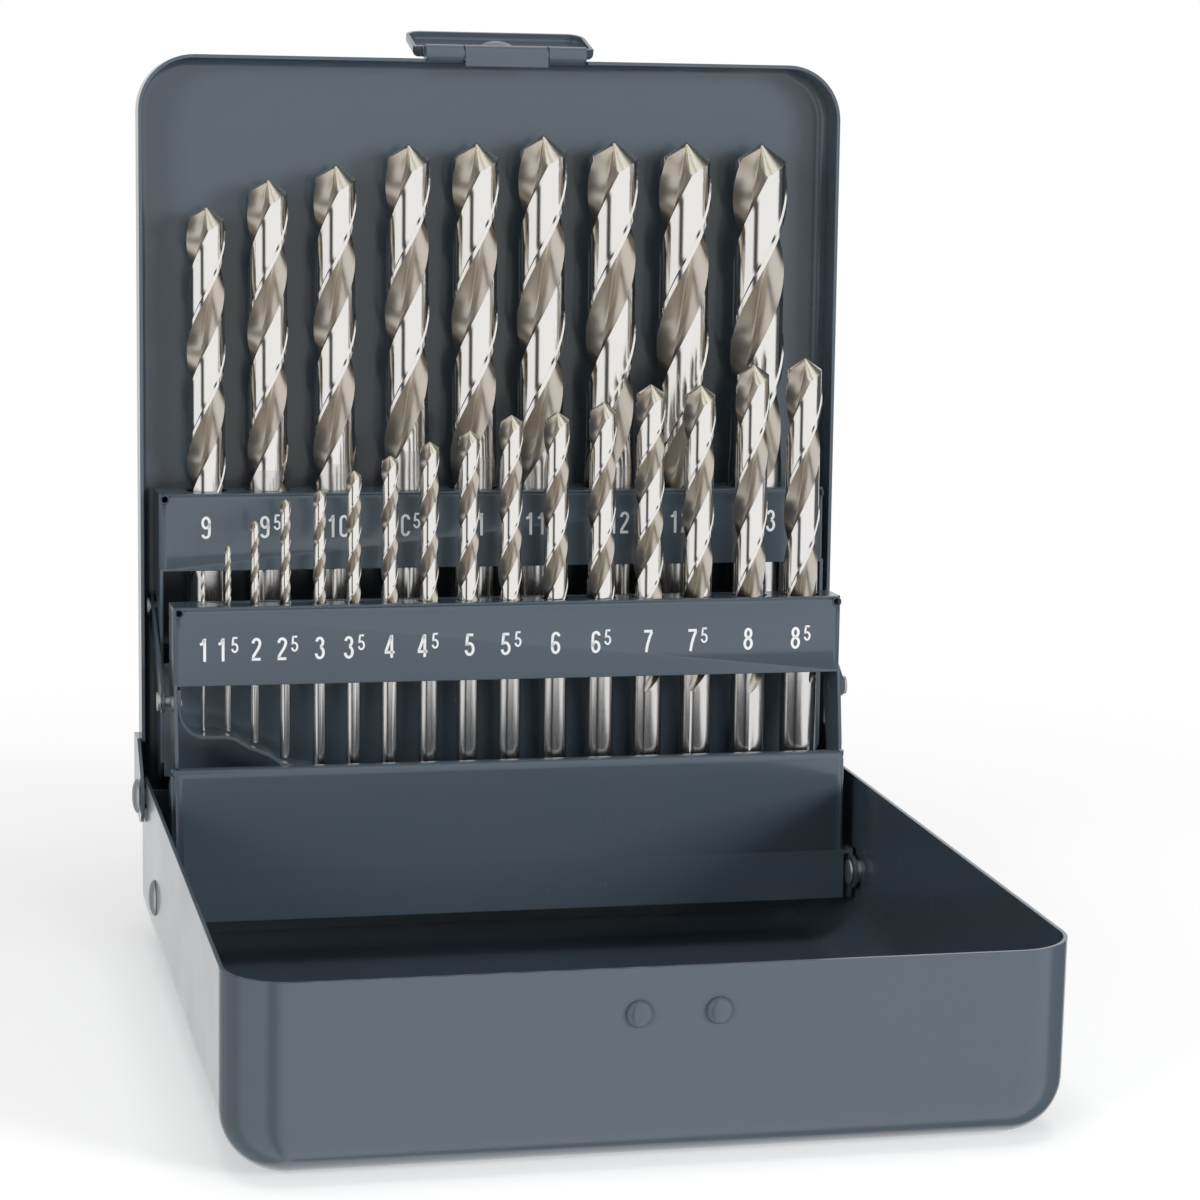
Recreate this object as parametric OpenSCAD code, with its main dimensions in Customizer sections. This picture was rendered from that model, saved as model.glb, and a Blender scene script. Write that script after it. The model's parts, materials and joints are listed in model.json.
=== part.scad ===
// Steel case for 25 twist drills, 1 to 13 mm by 0.5 mm, shown open.
// Millimetres. X to the right, Y to the back, Z up; the origin is the centre of the tray's flat underside.
// Side profiles are drawn as (depth, height) from an axis: depth to the back and height up when open.

/* [Case] */
// Outside width of tray and lid
case_w = 168; // [160:1:190]
// Outside depth of tray and lid
case_d = 176; // [172:1:190]
// Height of the tray walls
tray_h = 40; // [39:0.5:46]
// Height of the tray's rear wall, which the lid's contents swing over
rear_wall_h = 36; // [34:0.1:36.2]
// Sheet thickness of tray, lid and racks
sheet = 0.8; // [0.6:0.1:0.9]
// Radius of the two upright front corners
corner_r = 13; // [12.5:0.5:16]
// Radius between the tray's walls and its underside
base_r = 12; // [8:0.5:12]
// Depth of the lid, from its rim to its outer face
lid_depth = 10.7; // [10.7:0.1:14]
// Radius between the lid's walls and its face
lid_bend = 3; // [2:0.5:4]

/* [Hinge] */
// Height of the hinge axis below the tray's rim
hinge_drop = 4.5; // [4.2:0.1:5]
// Distance of the hinge axis from the rear face
hinge_back = 4; // [3.8:0.1:4.4]
// Gap between the two rims when the case is shut
rim_gap = 0.3; // [0.3:0.1:0.6]
// Angle that the open lid and racks lean back
lean = 2.05; // [0:0.05:4]
// Radius of the rivet shanks
pin_r = 2; // [1.6:0.1:2.4]
// Radius of the rivets' flat outer heads
head_r = 4.15; // [3.6:0.05:4.4]
// Thickness of the rivets' outer heads
head_t = 1.1; // [0.8:0.1:1.4]
// Running clearance of a hole round a pin
fit = 0.06; // [0.03:0.01:0.1]
// Side gap between pieces that swing past each other
side_gap = 0.3; // [0.3:0.05:0.4]
// Radius of the lid's ears round the hinge
ear_r = 6.2; // [5.6:0.1:6.6]
// Height above the hinge where the ears step in to the lid's walls
joggle_u = 12; // [10:0.5:14]

/* [Clasp] */
// Middle of the clasp and its studs, from the middle of the case
clasp_x = 2.2; // [-10:0.1:10]
// Width of the clasp plate
clasp_w = 43.4; // [36:0.2:50]
// Reach of the clasp plate from its pin
clasp_l = 16.5; // [15.5:0.5:18]
// Width of each clasp knuckle
knuckle_w = 9; // [6:0.5:10]
// Width of the knuckle strap on the lid
strap_w = 19.8; // [14:0.2:24]
// Outer radius of the knuckles
knuckle_r = 2.1; // [1.9:0.1:2.3]
// Radius of the clasp pin
clasp_pin_r = 1.1; // [0.8:0.1:1.2]
// Angle between the folded-back clasp and the lid's depth
clasp_tilt = 16.5; // [12:0.5:24]
// Distance of the clasp pin behind the lid's rim
clasp_back = 2.4; // [2.4:0.1:2.8]
// Height of the clasp pin above the lid's top wall
clasp_rise = 1.3; // [1.1:0.1:1.6]
// Depth of the clasp's hollow side below the pin's middle
clasp_rim = 1; // [0.6:0.1:1]
// Height of the clasp plate's outer face over the pin's middle
clasp_face = 1.5; // [1.5:0.1:1.8]
// Radius of the clasp's corners
clasp_corner = 4; // [3:0.5:5]
// Spacing of the two catch studs
stud_gap = 15.7; // [12:0.1:18]
// Radius of a catch stud's dome
stud_r = 2.75; // [2:0.05:3]
// Height of a catch stud
stud_h = 1.6; // [1.2:0.1:1.8]
// Height of the studs' centres above the ground
stud_z = 31; // [30:0.5:33]

/* [Front rack] */
// Depth position of the front rack's pivot axis
front_pivot_y = 57; // [55:0.5:59]
// Height of the front rack's pivot axis
front_pivot_z = 18; // [17.5:0.1:18]
// Step in from the rear rack's side to the front rack's
rack_step = 1.2; // [1.1:0.1:2]
// Height of the front shelf's top above its pivot
front_shelf_u = 65.7; // [62:0.1:68]
// Depth position of the front label flange's face
front_flange_v = 4.6; // [4:0.1:5]
// Depth position of the front shelf's rear edge
front_shelf_v = 15.6; // [15:0.1:15.6]
// Depth position of the front row of drills
front_axis_v = 10.4; // [10:0.1:10.6]
// Depth position of the front panel's face
panel_v = 0.9; // [0.5:0.1:1.2]
// Height of the front panel's top edge above the pivot
panel_top_u = 29; // [26:0.5:30]
// Distance of the front panel's bottom edge below the pivot
panel_low_u = 6.5; // [6:0.1:7]

/* [Rear rack] */
// Gap between the rear rack and the tray's side wall
rack_gap = 3; // [2.6:0.1:4]
// Height of the rear shelf's top above the hinge
rear_shelf_u = 71.1; // [68:0.1:74]
// Depth position of the rear label flange's face
rear_flange_v = -1.5; // [-1.5:0.1:-1]
// Depth position of the rear row of drills
rear_axis_v = 6.6; // [6.4:0.1:6.8]
// Height of the rear panel's top edge above the hinge
rear_panel_top_u = 31.5; // [24:0.5:34]
// Height of the rear panel's bottom edge above the hinge
rear_panel_low_u = 4.7; // [4:0.1:6]

/* [Racks] */
// Height of the label flanges
flange_h = 18; // [16:0.1:20]
// Outer radius of the folds
fold_r = 1.4; // [1:0.1:1.8]
// Radial clearance of a rack hole round its drill
hole_play = 0.3; // [0.3:0.05:0.4]
// Radius of the relief hole at each upper corner of a flange
relief_r = 0.75; // [0.5:0.05:1]
// Distance of a relief hole's middle from the rack's side and top
relief_in = 1.25; // [1.1:0.05:1.6]

/* [Link bars] */
// Height of the link pins above the pivots
link_u = 43.3; // [38:0.1:46]
// Depth position of the link pins, from the pivots
link_v = 11.2; // [9:0.1:11.4]
// Radius of the link pins
link_pin_r = 1.1; // [0.9:0.05:1.2]
// Half the width of a link bar
link_r = 2.6; // [2.3:0.1:2.8]
// Radial slack of a link bar round the rear rack's pin
link_slack = 0.3; // [0.2:0.05:0.4]

/* [Drills] */
// Lead of the flutes over the diameter
lead = 5.8; // [5:0.1:6.5]
// Included angle of the drill points
point_angle = 118; // [110:1:135]
// Radius of the fluted part over that of the shank
body_share = 0.985; // [0.97:0.005:0.99]
// Gap under a resting drill
seat_gap = 0.1; // [0.05:0.05:0.3]

/* [Hidden] */
$fn = 64;
eps = 0.02;

// Places of the axes and of the lid's faces
hinge_y = case_d / 2 - hinge_back;
hinge_z = tray_h - hinge_drop;
rim_v = hinge_drop + rim_gap;
face_v = hinge_drop + lid_depth + rim_gap;
lid_top_u = hinge_y + case_d / 2;
wall_x = case_w / 2;
tray_in = wall_x - sheet;
ear_x = wall_x + side_gap;
rear_half_w = tray_in - rack_gap;
front_half_w = rear_half_w - rack_step;

// The link bars' layer, outside both racks
bar_x = rear_half_w + side_gap;
link_head_x = bar_x + sheet + side_gap;
link_head_t = 0.6;

// Clasp pin, from the hinge axis
clasp_u = lid_top_u + clasp_rise;
clasp_v = rim_v + clasp_back;
clasp_half = strap_w / 2 + side_gap + knuckle_w;

// Drill sizes from 1 mm; the first sixteen stand in the front rack
row_split = 16;
function size(i) = 1 + i / 2;

// The front panel's rolled top edge, and the arms and floor behind it
panel_roll_r = 2;
panel_lip = 1;
panel_side_v = 9;
front_arm_v = panel_v + panel_roll_r + panel_lip + side_gap;
panel_lug_x = tray_in - 2;

// Rivet between the front rack's left arm and the floor's upright end
floor_rivet_v = 7.5;
floor_rivet_u = 43.3;
floor_rivet_r = 0.9;

// Overall and fluted lengths, close to jobber series lengths
lengths = [
    37, 43, 51.5, 60, 64, 70.5, 76, 81.5, 86.5, 92.5, 96, 101, 108, 109.5, 116, 118,
    123, 129.5, 133, 138, 141.5, 143.5, 151, 151, 151
];
flutes = [
    12.5, 19, 25, 31, 34, 40, 45, 48, 53, 58, 60, 64, 72.4, 72.4, 78, 77.2,
    86.3, 85, 88, 91, 94, 95, 99, 99, 99
];

// Positions of the drills across the case
places = [
    -71.7, -66, -59.8, -52.8, -44.9, -37, -28.6, -19.4, -10.1, -0.2, 10.6, 21.6, 33, 44.9, 57.7, 70.3,
    -68.4, -54, -38.2, -21, -4.8, 11.3, 28.4, 46.2, 64.8
];

// Tops of the drill floors, left to right, as (place, height above the pivot or hinge)
front_floor_line = [
    [-77.4, 47], [-77.4, 41.6], [-77, 40], [-75.9, 38.2], [-74.4, 36.9], [-72.8, 36.3], [-67, 36.2],
    [-64.9, 35.6],
    [-61.9, 33.7], [-57, 31.7], [-54.3, 29.7], [33, 6.8], [45, 5.8], [58, 3.8], [78.2, 3.8]
];
rear_floor_line = [
    [-79.4, 14.2], [-14.5, 14.2], [-12.5, 11.2], [19, 11.2], [21, 2.5], [79.4, 2.5]
];
rear_floor_v = 0.2;

// Both are laid out for racks whose arms are this far apart; other racks spread them to their arms
front_laid_out = 77.4;
rear_laid_out = 79.4;
front_spread = (front_half_w - 2 * sheet) / front_laid_out;
rear_spread = (rear_half_w - sheet) / rear_laid_out;

// Half of the drill's cross-section, as (angle, radius over body radius): a land, then a flute
section = [[0, 1], [32, 1], [64, 1], [96, 0.99], [128, 0.3]];
slices_a_turn = 12;

// Width of the blunt end of a drill's point over that of its body
tip_share = 0.08;

function in_front(i) = i < row_split;
function place(i) = places[i] * (in_front(i) ? front_spread : rear_spread);
function fitted(line, spread, half) = [for (p = line) [min(p[0] * spread, half - sheet), p[1]]];
front_line = fitted(front_floor_line, front_spread, front_half_w);
rear_line = fitted(rear_floor_line, rear_spread, rear_half_w);
function highest(line, x, r) = max(lookup(x - r, line), lookup(x, line), lookup(x + r, line));
function seat(i) = seat_gap + highest(in_front(i) ? front_line : rear_line, place(i), size(i) / 2);

ENAMEL = "#5b636c";
STEEL = "#b9bcc0";
HSS = "#b5aca0";

// ---------- frames ----------

// Moves children from the hinge axis to the open lid
module at_lid() { translate([0, hinge_y, hinge_z]) rotate([-lean, 0, 0]) children(); }

// Moves children from the front rack's pivot to the raised rack
module at_front() { translate([0, front_pivot_y, front_pivot_z]) rotate([-lean, 0, 0]) children(); }

module both_sides() { for (side = [0, 1]) mirror([side, 0, 0]) children(); }

// A flat piece across X, from x0 outwards, drawn as (depth, height)
module side_plate(x0, thick) {
    translate([x0, 0, 0]) rotate([90, 0, 90]) linear_extrude(height = thick) children();
}

// A round bar along X
module x_bar(x0, x1, r) { translate([x0, 0, 0]) rotate([0, 90, 0]) cylinder(r = r, h = x1 - x0); }

// ---------- pressed pans ----------

// Half section of a pan's wall: upright face, round edge, flat underside
module edge_section(corner, edge, h) {
    translate([0, edge]) square([corner, h - edge]);
    square([corner - edge, edge + eps]);
    intersection() {
        translate([corner - edge, edge]) circle(r = edge);
        translate([corner - edge - eps, 0]) square([edge + 2 * eps, edge + eps]);
    }
}

// Solid of a pan: square end at y = 0, round corners at y = l, round edges at z = 0
module pan_form(w, l, h, corner, edge) {
    flat_w = w - 2 * corner;
    translate([-flat_w / 2, 0, 0]) cube([flat_w, l - corner, h]);
    translate([-flat_w / 2, l - corner, 0]) rotate([90, 0, 90])
        linear_extrude(height = flat_w) edge_section(corner, edge, h);
    both_sides() {
        translate([flat_w / 2, l - corner, 0]) rotate([90, 0, 0])
            linear_extrude(height = l - corner) edge_section(corner, edge, h);
        translate([flat_w / 2, l - corner, 0])
            rotate_extrude(angle = 90) edge_section(corner, edge, h);
    }
}

module pan(w, l, h, corner, edge) {
    difference() {
        pan_form(w, l, h, corner, edge);
        translate([0, sheet, sheet])
            pan_form(w - 2 * sheet, l - 2 * sheet, h, corner - sheet, edge - sheet);
    }
}

// ---------- tray and its rivets ----------

module tray() {
    chamfer = 5.2;
    color(ENAMEL) difference() {
        translate([0, case_d / 2, 0]) rotate([0, 0, 180]) pan(case_w, case_d, tray_h, corner_r, base_r);
        translate([-tray_in, case_d / 2 - sheet - 1, rear_wall_h]) cube([2 * tray_in, sheet + 2, tray_h]);
        // the rear ends of the side walls make room for the lid's rear wall and the drills over it
        translate([0, case_d / 2, tray_h]) rotate([45, 0, 0]) cube([case_w + 2, chamfer, chamfer], center = true);
        both_sides() {
            translate([0, hinge_y, hinge_z]) x_bar(tray_in - 1, wall_x + 1, pin_r);
            translate([0, front_pivot_y, front_pivot_z]) x_bar(tray_in - 1, wall_x + 1, pin_r);
        }
    }
}

// Shallow domes on the front wall
module catch_studs() {
    dome_r = (stud_r * stud_r + stud_h * stud_h) / (2 * stud_h);
    color(ENAMEL) for (side = [-1, 1])
        translate([clasp_x + side * stud_gap / 2, -case_d / 2, stud_z]) rotate([90, 0, 0])
            rotate_extrude() intersection() {
                translate([0, stud_h - dome_r]) circle(r = dome_r);
                square([stud_r, stud_h]);
            }
}

// Rivets through the tray's side walls: head outside the ear, tail inside the wall
module hinge_rivets() {
    head_x = ear_x + sheet + side_gap;
    color(STEEL) both_sides() translate([0, hinge_y, hinge_z]) {
        x_bar(head_x, head_x + head_t, head_r);
        x_bar(tray_in - eps, head_x + eps, pin_r);
        x_bar(tray_in - 0.9, tray_in, 1.5 * pin_r);
    }
}

// Rivets that carry the front rack: head outside the wall, collar and tail inside
module pivot_rivets() {
    tail_t = 0.6;
    tail_x = panel_lug_x - side_gap;
    color(STEEL) both_sides() translate([0, front_pivot_y, front_pivot_z]) {
        x_bar(wall_x, wall_x + head_t, head_r);
        x_bar(panel_lug_x + sheet + side_gap, tray_in, 1.4 * pin_r);
        x_bar(tail_x - eps, wall_x + eps, pin_r);
        x_bar(tail_x - tail_t, tail_x, 1.5 * pin_r);
    }
}

// ---------- lid ----------

// Outline of the ear, from the lid's side wall round the hinge
module ear_outline() {
    ear_v = face_v - lid_bend + sheet;
    circle(r = ear_r);
    polygon([
        [0, -ear_r], [ear_v, -hinge_back], [ear_v, joggle_u + sheet], [rim_v, joggle_u + sheet],
        [-ear_r * 0.75, ear_r * 0.66]
    ]);
}

module lid() {
    ear_v = face_v - lid_bend;
    step_w = ear_x + sheet - tray_in;
    color(ENAMEL) at_lid() difference() {
        union() {
            difference() {
                translate([0, face_v, -hinge_back]) rotate([90, 0, 0])
                    pan(case_w, lid_top_u + hinge_back, lid_depth, corner_r, lid_bend);
                both_sides() translate([tray_in - eps, 0, -hinge_back - 1])
                    cube([2, ear_v, joggle_u + hinge_back + 1]);
            }
            both_sides() {
                side_plate(ear_x, sheet) ear_outline();
                translate([tray_in, rim_v, joggle_u]) cube([step_w, ear_v - rim_v, sheet]);
                translate([tray_in, ear_v, -hinge_back]) cube([step_w, sheet, joggle_u + hinge_back + sheet]);
                translate([tray_in - 1, rim_v, -hinge_back]) cube([step_w + 1, ear_v - rim_v, sheet]);
            }
        }
        both_sides() x_bar(ear_x - 1, ear_x + 2, pin_r + fit);
        // the top wall makes room for the clasp's knuckles
        translate([clasp_x - clasp_half - side_gap, rim_v - 1, lid_top_u - sheet - 1])
            cube([2 * (clasp_half + side_gap), 1 + clasp_back + knuckle_r + side_gap, sheet + 2]);
    }
}

// ---------- clasp ----------

// Moves children to the clasp pin: depth to the back, height up
module at_clasp() { at_lid() translate([clasp_x, clasp_v, clasp_u]) children(); }

// Sheet tab from inside the lid's top wall, curled round the pin
module clasp_strap() {
    front = -knuckle_r;
    low = lid_top_u - 2 * sheet - clasp_u;
    reach = 5.3;
    color(ENAMEL) at_clasp() difference() {
        union() {
            x_bar(-strap_w / 2, strap_w / 2, knuckle_r);
            translate([-strap_w / 2, front, low]) cube([strap_w, knuckle_r, -low]);
            translate([-strap_w / 2, front, low]) cube([strap_w, knuckle_r + reach, sheet]);
        }
        x_bar(-strap_w / 2 - 1, strap_w / 2 + 1, clasp_pin_r);
    }
}

module clasp_pin() { color(STEEL) at_clasp() x_bar(-clasp_half, clasp_half, clasp_pin_r); }

// Pressed boss inside the clasp, which snaps between the studs
module clasp_boss() {
    boss_r = 4.8;
    boss_h = 1.4;
    dome_r = (boss_r * boss_r + boss_h * boss_h) / (2 * boss_h);
    rotate_extrude() intersection() {
        translate([0, boss_h - dome_r]) difference() {
            circle(r = dome_r);
            circle(r = dome_r - sheet);
        }
        translate([0, -sheet / 2]) square([boss_r, boss_h + sheet]);
    }
}

// Drawn folded back over the lid: length to the back, hollow face up
module clasp() {
    knuckle_x = strap_w / 2 + side_gap;
    near = knuckle_r + side_gap;
    edge = 1.4;
    boss_p = 10.7;
    color(ENAMEL) at_clasp() rotate([clasp_tilt, 0, 0]) difference() {
        union() {
            both_sides() {
                x_bar(knuckle_x, clasp_half, knuckle_r);
                translate([knuckle_x, 1, -clasp_face]) cube([knuckle_w, near + 1, sheet]);
            }
            difference() {
                translate([0, near, -clasp_face])
                    pan(clasp_w, clasp_l - near, clasp_face + clasp_rim, clasp_corner, edge, $fn = 32);
                // no wall beside the knuckles
                translate([-clasp_half, near - 1, sheet - clasp_face])
                    cube([2 * clasp_half, 1 + sheet + eps, clasp_face + clasp_rim]);
                translate([0, boss_p, -clasp_face - 1]) cylinder(r = 4, h = 1 + sheet + eps, $fn = 32);
            }
            translate([0, boss_p, sheet / 2 - clasp_face]) clasp_boss($fn = 32);
        }
        both_sides() x_bar(knuckle_x - 1, clasp_half + 1, clasp_pin_r + fit);
    }
}

// ---------- racks ----------

// Angle section: label flange in front, shelf on top, one round fold
module rack_section(face, rear, top) {
    translate([face, top - flange_h]) square([sheet, flange_h - fold_r]);
    translate([face + fold_r, top - sheet]) square([rear - face - fold_r, sheet]);
    translate([face + fold_r, top - fold_r]) intersection() {
        difference() {
            circle(r = fold_r);
            circle(r = fold_r - sheet);
        }
        translate([-fold_r, -eps]) square([fold_r + eps, fold_r + eps]);
    }
}

// A rack: folded strip with a hole for each drill of its row, and two side arms
module rack(half_w, face, rear, top, axis, row) {
    difference() {
        union() {
            side_plate(-half_w + sheet - eps, 2 * (half_w - sheet + eps)) rack_section(face, rear, top);
            both_sides() side_plate(half_w - sheet, sheet) children();
        }
        for (i = row) translate([place(i), axis, top - 2]) cylinder(r = size(i) / 2 + hole_play, h = 4);
        both_sides() translate([half_w - relief_in, face - 1, top - relief_in])
            rotate([-90, 0, 0]) cylinder(r = relief_r, h = 1 + 1.5 * sheet);
        both_sides() x_bar_at_link(half_w);
    }
}

module x_bar_at_link(half_w) {
    translate([0, link_v, link_u]) x_bar(half_w - sheet - 1, half_w + 1, link_pin_r);
}

module front_rack() {
    arm_low_u = 8;
    arm_rear_v = front_shelf_v - 3.6;
    over_panel_u = panel_top_u + side_gap;
    color(ENAMEL) at_front() difference() {
        rack(front_half_w, front_flange_v, front_shelf_v, front_shelf_u, front_axis_v, [0:row_split - 1])
            polygon([
                [front_flange_v, front_shelf_u - fold_r], [front_flange_v + fold_r, front_shelf_u],
                [front_shelf_v, front_shelf_u], [front_shelf_v, link_u - link_r], [arm_rear_v, panel_top_u],
                [arm_rear_v, arm_low_u], [front_arm_v, arm_low_u], [front_arm_v, over_panel_u],
                [front_arm_v - panel_roll_r, over_panel_u], [front_arm_v - panel_roll_r, over_panel_u + 2],
                [front_flange_v, front_shelf_u - flange_h]
            ]);
        translate([0, floor_rivet_v, floor_rivet_u])
            x_bar(-front_half_w - 1, sheet + 1 - front_half_w, floor_rivet_r);
    }
}

module rear_rack() {
    rear_v = face_v - sheet;
    color(ENAMEL) at_lid()
        rack(rear_half_w, rear_flange_v, rear_v, rear_shelf_u, rear_axis_v, [row_split:len(places) - 1])
            polygon([
                [rear_flange_v, rear_shelf_u - fold_r], [rear_flange_v + fold_r, rear_shelf_u],
                [rear_v, rear_shelf_u], [rear_v, 1.7], [7, 1.7], [rear_flange_v, 8]
            ]);
}

// Plate below the rear label flange, level with it, that hides the rear drills' shanks
module rear_panel() {
    color(ENAMEL) at_lid() translate([sheet - rear_half_w, rear_flange_v, rear_panel_low_u])
        cube([2 * (rear_half_w - sheet), sheet, rear_panel_top_u - rear_panel_low_u]);
}

// ---------- drill floors ----------

// Lower edge of a strip of sheet under a line of points, kept square to the line
function under(line) = [for (i = [len(line) - 1:-1:0]) let (
    a = line[max(i - 1, 0)],
    b = line[min(i + 1, len(line) - 1)],
    d = (b - a) / norm(b - a)
) line[i] + sheet * [d[1], -d[0]]];

module floor_strip(line, from_v, to_v) {
    translate([0, to_v, 0]) rotate([90, 0, 0]) linear_extrude(height = to_v - from_v)
        polygon(concat(line, under(line)));
}

module front_floor() {
    color(ENAMEL) at_front() difference() {
        floor_strip(front_line, front_arm_v, front_shelf_v);
        translate([0, floor_rivet_v, floor_rivet_u])
            x_bar(-front_half_w, 3 * sheet - front_half_w, floor_rivet_r);
    }
}

module rear_floor() {
    color(ENAMEL) at_lid() floor_strip(rear_line, rear_floor_v, face_v - sheet);
}

module floor_rivet() {
    flat_t = 0.4;
    color(STEEL) at_front() translate([0, floor_rivet_v, floor_rivet_u]) {
        x_bar(-front_half_w - flat_t, -front_half_w, 2 * floor_rivet_r);
        x_bar(-front_half_w - eps, 2 * sheet + eps - front_half_w, floor_rivet_r);
        x_bar(2 * sheet - front_half_w, 2 * sheet + flat_t - front_half_w, 1.7 * floor_rivet_r);
    }
}

// ---------- front panel ----------

// Section of the panel: upright face with its top rolled to the back
module panel_section() {
    translate([panel_v, -panel_low_u]) square([sheet, panel_low_u + panel_top_u - panel_roll_r]);
    translate([panel_v + panel_roll_r, panel_top_u - sheet]) square([panel_lip, sheet]);
    translate([panel_v + panel_roll_r, panel_top_u - panel_roll_r]) intersection() {
        difference() {
            circle(r = panel_roll_r);
            circle(r = panel_roll_r - sheet);
        }
        translate([-panel_roll_r, -eps]) square([panel_roll_r + eps, panel_roll_r + eps]);
    }
}

module front_panel() {
    step_u = 5;
    lug_w = panel_lug_x + sheet - front_half_w;
    half = front_half_w + sheet;
    color(ENAMEL) at_front() difference() {
        union() {
            side_plate(-half, 2 * half) panel_section();
            both_sides() {
                side_plate(front_half_w, sheet)
                    polygon([
                        [panel_v, step_u - sheet], [panel_side_v, step_u - sheet],
                        [panel_side_v, panel_top_u - 4], [panel_side_v - 3, panel_top_u - panel_roll_r],
                        [panel_v + sheet, panel_top_u - panel_roll_r], [panel_v, panel_top_u - 3]
                    ]);
                translate([front_half_w, panel_v, step_u - sheet])
                    cube([lug_w, panel_side_v - panel_v, sheet]);
                side_plate(panel_lug_x, sheet) {
                    translate([panel_v, -panel_low_u]) square([4, panel_low_u + step_u]);
                    translate([panel_v, -2]) square([panel_side_v - panel_v, step_u + 2]);
                    intersection() {
                        circle(r = 7.4);
                        translate([panel_v - eps, -panel_low_u]) square([8, 12]);
                    }
                    circle(r = 4);
                }
            }
        }
        both_sides() x_bar(panel_lug_x - 1, panel_lug_x + 2, pin_r + fit);
    }
}

// ---------- link bars and pins ----------

module link_bar() {
    reach = [hinge_y - front_pivot_y, hinge_z - front_pivot_z];
    far = [reach[0] * cos(lean) - reach[1] * sin(lean), reach[0] * sin(lean) + reach[1] * cos(lean)];
    at_front() translate([0, link_v, link_u]) difference() {
        side_plate(bar_x, sheet) hull() {
            circle(r = link_r, $fn = 32);
            translate(far) circle(r = link_r, $fn = 32);
        }
        x_bar(bar_x - 1, bar_x + 2, link_pin_r + fit);
        translate([0, far[0], far[1]]) x_bar(bar_x - 1, bar_x + 2, link_pin_r + link_slack);
    }
}

module link_bar_right() { color(ENAMEL) link_bar(); }

module link_bar_left() { color(ENAMEL) mirror([1, 0, 0]) link_bar(); }

module link_pin(half_w) {
    translate([0, link_v, link_u]) {
        x_bar(half_w - sheet, link_head_x + eps, link_pin_r);
        x_bar(link_head_x, link_head_x + link_head_t, 2 * link_pin_r);
    }
}

module front_link_pins() { color(STEEL) at_front() both_sides() link_pin(front_half_w); }

module rear_link_pins() { color(STEEL) at_lid() both_sides() link_pin(rear_half_w); }

// ---------- drills ----------

// Points of both halves of the cross-section, at one height
function ring(r, turn, z) = [for (half = [0, 180], p = section)
    [r * p[1] * cos(turn + half + p[0]), r * p[1] * sin(turn + half + p[0]), z]];

// Triangles between ring k of n points and the next ring up
function band(k, n) = [for (j = [0:n - 1], upper = [0, 1]) let (
    a = k * n + j,
    b = k * n + (j + 1) % n
) upper == 0 ? [a, a + n, b] : [b, a + n, b + n]];

// Two right-hand flutes and a point: rings of the cross-section, each turned a little further
module fluted_part(r, fluted, tip_h, turn) {
    n = 2 * len(section);
    steps = ceil(slices_a_turn * turn / 360);
    rings = [for (k = [0:steps]) ring(r, turn * k / steps, fluted * k / steps)];
    tip = ring(r * tip_share, turn, fluted + tip_h);
    polyhedron(
        points = concat([for (one = rings, p = one) p], tip),
        faces = concat(
            [for (k = [0:steps], face = band(k, n)) face],
            [[for (j = [0:n - 1]) j]],
            [[for (j = [n - 1:-1:0]) (steps + 1) * n + j]]
        )
    );
}

// Twist drill standing on z = 0: plain shank, flutes, point
module twist_drill(d, length, flute) {
    body_r = body_share * d / 2;
    tip_h = body_r * (1 - tip_share) / tan(point_angle / 2);
    cylinder(r = d / 2, h = length - flute);
    translate([0, 0, length - flute - eps])
        fluted_part(body_r, flute + eps - tip_h, tip_h, 360 * flute / (lead * d));
}

module drill(i) {
    color(HSS)
        if (in_front(i)) at_front() translate([place(i), front_axis_v, seat(i)])
            twist_drill(size(i), lengths[i], flutes[i]);
        else at_lid() translate([place(i), rear_axis_v, seat(i)])
            twist_drill(size(i), lengths[i], flutes[i]);
}

tray();
catch_studs();
hinge_rivets();
pivot_rivets();
lid();
clasp_strap();
clasp_pin();
clasp();
rear_rack();
rear_panel();
rear_floor();
rear_link_pins();
front_rack();
front_floor();
floor_rivet();
front_panel();
front_link_pins();
link_bar_left();
link_bar_right();
drill(0);  // drill_01_0
drill(1);  // drill_01_5
drill(2);  // drill_02_0
drill(3);  // drill_02_5
drill(4);  // drill_03_0
drill(5);  // drill_03_5
drill(6);  // drill_04_0
drill(7);  // drill_04_5
drill(8);  // drill_05_0
drill(9);  // drill_05_5
drill(10);  // drill_06_0
drill(11);  // drill_06_5
drill(12);  // drill_07_0
drill(13);  // drill_07_5
drill(14);  // drill_08_0
drill(15);  // drill_08_5
drill(16);  // drill_09_0
drill(17);  // drill_09_5
drill(18);  // drill_10_0
drill(19);  // drill_10_5
drill(20);  // drill_11_0
drill(21);  // drill_11_5
drill(22);  // drill_12_0
drill(23);  // drill_12_5
drill(24);  // drill_13_0
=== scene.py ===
"""Steel case with 25 twist drills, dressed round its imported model: enamel, drills, numerals and studio."""

import json
import math

import bmesh
import bpy
from mathutils import Matrix, Vector


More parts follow.
